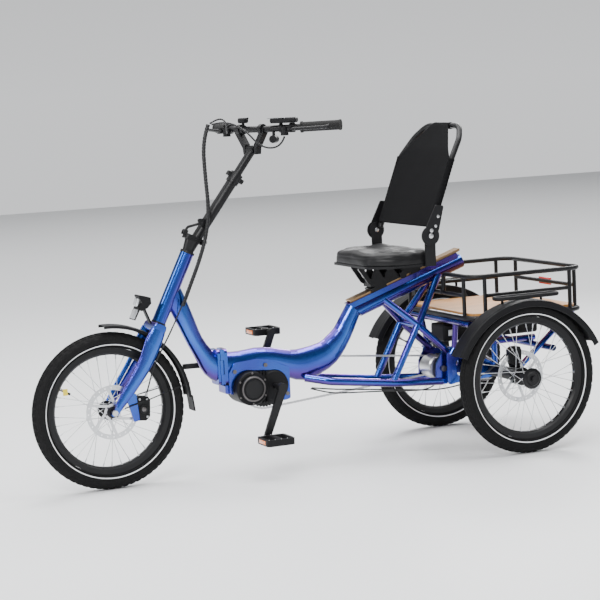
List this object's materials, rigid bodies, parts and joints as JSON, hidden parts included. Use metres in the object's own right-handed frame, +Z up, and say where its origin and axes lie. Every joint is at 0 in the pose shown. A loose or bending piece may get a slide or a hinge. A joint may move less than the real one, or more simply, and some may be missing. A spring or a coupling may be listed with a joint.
{
  "type": "adult tricycle",
  "caption": "Adult tricycle with a folding frame and stem, mid motor, adjustable sling-back seat and a rear rack with basket and wooden deck.",
  "frame": {"origin": "on the floor, under the middle of the outline's length and width", "axes": "+X towards the rear, along the wheelbase; +Y to the rider's right; +Z up"},
  "size_m": [1.953, 0.744, 1.2034],
  "materials": {
    "frame_paint": "gloss",
    "black_paint": "satin",
    "bronze": "satin",
    "silver": "satin",
    "steel": "brushed",
    "black_plastic": "matte",
    "grip_rubber": "matte",
    "tyre": "matte",
    "board": "satin",
    "seat_cloth": "woven",
    "hose": "satin",
    "chain_steel": "oiled"
  },
  "bodies": {
    "rear_frame": {"main_tube": "frame_paint", "seat_beam": "frame_paint", "seat_rail": "bronze", "motor_bracket": "frame_paint", "motor_housing": "black_plastic", "rear_triangle": "frame_paint", "rear_carriage": "frame_paint", "axle_housing": "black_paint", "rack_base": "black_paint", "deck_board": "board", "basket_frame": "black_paint", "battery": "black_plastic", "rear_fenders": "black_plastic", "rear_calipers": "black_paint", "chains": "chain_steel", "rear_brake_hoses": "hose", "frame_fasteners": "steel"},
    "front_frame": {"head_tube": "frame_paint", "down_tube": "frame_paint"},
    "fold_latch": {"fold_lever": "black_paint"},
    "steering": {"fork": "frame_paint", "stem_base": "black_paint", "front_fender": "black_plastic", "headlight": "black_plastic", "front_caliper": "black_paint", "front_brake_hose": "hose", "front_axle": "steel"},
    "stem": {"stem_post": "black_paint"},
    "stem_lock": {"stem_latch": "black_paint"},
    "telescope": {"upper_post": "black_paint"},
    "bars": {"bar_riser": "black_paint", "handlebar": "black_paint", "grips": "grip_rubber", "controls": "black_plastic", "cable_bundle": "hose"},
    "left_brake": {"brake_lever_left": "black_paint"},
    "right_brake": {"brake_lever_right": "black_paint"},
    "crankset": {"crank_arms": "black_paint", "chainring": "black_paint"},
    "left_pedal": {"pedal_left": "black_plastic"},
    "right_pedal": {"pedal_right": "black_plastic"},
    "hub_gear": {"gear_hub": "silver"},
    "drive_axle": {"differential": "black_paint"},
    "front_wheel": {"front_tyre": "tyre", "front_rim": "black_paint", "front_spokes": "steel", "front_hub": "black_paint"},
    "left_wheel": {"left_tyre": "tyre", "left_rim": "black_paint", "left_spokes": "steel", "left_hub": "black_paint"},
    "right_wheel": {"right_tyre": "tyre", "right_rim": "black_paint", "right_spokes": "steel", "right_hub": "black_paint"},
    "seat_carriage": {"seat_bracket": "black_paint", "seat_base": "black_paint", "seat_cushion": "seat_cloth"},
    "backrest": {"backrest_frame": "black_paint", "backrest_fabric": "seat_cloth"}
  },
  "joints": [
    {"name": "frame_fold", "type": "hinge", "parent": "rear_frame", "child": "front_frame", "pos_m": [-0.318, -0.03, 0.37], "axis": [0, 0, 1], "range_deg": [0, 90]},
    {"name": "fold_latch_swing", "type": "hinge", "parent": "front_frame", "child": "fold_latch", "pos_m": [-0.342, 0.046, 0.372], "axis": [0, 0, -1], "range_deg": [0, 80]},
    {"name": "steer", "type": "hinge", "parent": "front_frame", "child": "steering", "pos_m": [-0.41112, 0, 0.75849], "axis": [0.454, 0, 0.891], "range_deg": [-40, 40], "deforming": ["front_brake_hose"]},
    {"name": "stem_fold", "type": "hinge", "parent": "steering", "child": "stem", "pos_m": [-0.35316, 0, 0.79293], "axis": [0, 1, 0], "range_deg": [0, 75], "deforming": ["cable_bundle"]},
    {"name": "stem_lock_swing", "type": "hinge", "parent": "stem", "child": "stem_lock", "pos_m": [-0.41278, 0, 0.83453], "axis": [0, -1, 0], "range_deg": [0, 90]},
    {"name": "telescope_slide", "type": "slide", "parent": "stem", "child": "telescope", "axis": [0.6115, 0, 0.7912], "range_m": [-0.06, 0.03]},
    {"name": "bar_tilt", "type": "hinge", "parent": "telescope", "child": "bars", "pos_m": [-0.1565, 0, 1.09], "axis": [-0.3746, 0.9272, 0], "range_deg": [-20, 20]},
    {"name": "left_brake_pull", "type": "hinge", "parent": "bars", "child": "left_brake", "pos_m": [-0.07927, -0.14596, 1.15588], "axis": [0, 0, 1], "range_deg": [0, 9], "stiffness_Nm_per_rad": 0.6},
    {"name": "right_brake_pull", "type": "hinge", "parent": "bars", "child": "right_brake", "pos_m": [-0.20234, 0.15864, 1.15588], "axis": [0, 0, -1], "range_deg": [0, 9], "stiffness_Nm_per_rad": 0.6},
    {"name": "front_spin", "type": "hinge", "parent": "steering", "child": "front_wheel", "pos_m": [-0.7145, 0, 0.262], "axis": [0, 1, 0], "continuous": true},
    {"name": "left_spin", "type": "hinge", "parent": "rear_frame", "child": "left_wheel", "pos_m": [0.6925, -0.32, 0.262], "axis": [0, 1, 0], "continuous": true},
    {"name": "right_spin", "type": "hinge", "parent": "rear_frame", "child": "right_wheel", "pos_m": [0.6925, 0.32, 0.262], "axis": [0, 1, 0], "continuous": true},
    {"name": "crank_turn", "type": "hinge", "parent": "rear_frame", "child": "crankset", "pos_m": [-0.1365, 0, 0.289], "axis": [0, 1, 0], "continuous": true},
    {"name": "left_pedal_spin", "type": "hinge", "parent": "crankset", "child": "left_pedal", "pos_m": [-0.20149, -0.19, 0.12975], "axis": [0, 1, 0], "continuous": true},
    {"name": "right_pedal_spin", "type": "hinge", "parent": "crankset", "child": "right_pedal", "pos_m": [-0.07151, 0.19, 0.44825], "axis": [0, 1, 0], "continuous": true},
    {"name": "hub_gear_turn", "type": "hinge", "parent": "rear_frame", "child": "hub_gear", "pos_m": [0.5015, 0, 0.284], "axis": [0, 1, 0], "continuous": true},
    {"name": "drive_axle_turn", "type": "hinge", "parent": "rear_frame", "child": "drive_axle", "pos_m": [0.6925, 0, 0.262], "axis": [0, 1, 0], "continuous": true},
    {"name": "seat_slide", "type": "slide", "parent": "rear_frame", "child": "seat_carriage", "axis": [0.9478, 0, 0.319], "range_m": [-0.02, 0.15]},
    {"name": "backrest_fold", "type": "hinge", "parent": "seat_carriage", "child": "backrest", "pos_m": [0.3975, 0, 0.768], "axis": [0, 1, 0], "range_deg": [-75, 15]}
  ],
  "couplings": [
    {"joint": "hub_gear_turn", "follows": "crank_turn", "ratio": 2.75},
    {"joint": "drive_axle_turn", "follows": "crank_turn", "ratio": 2.75}
  ]
}
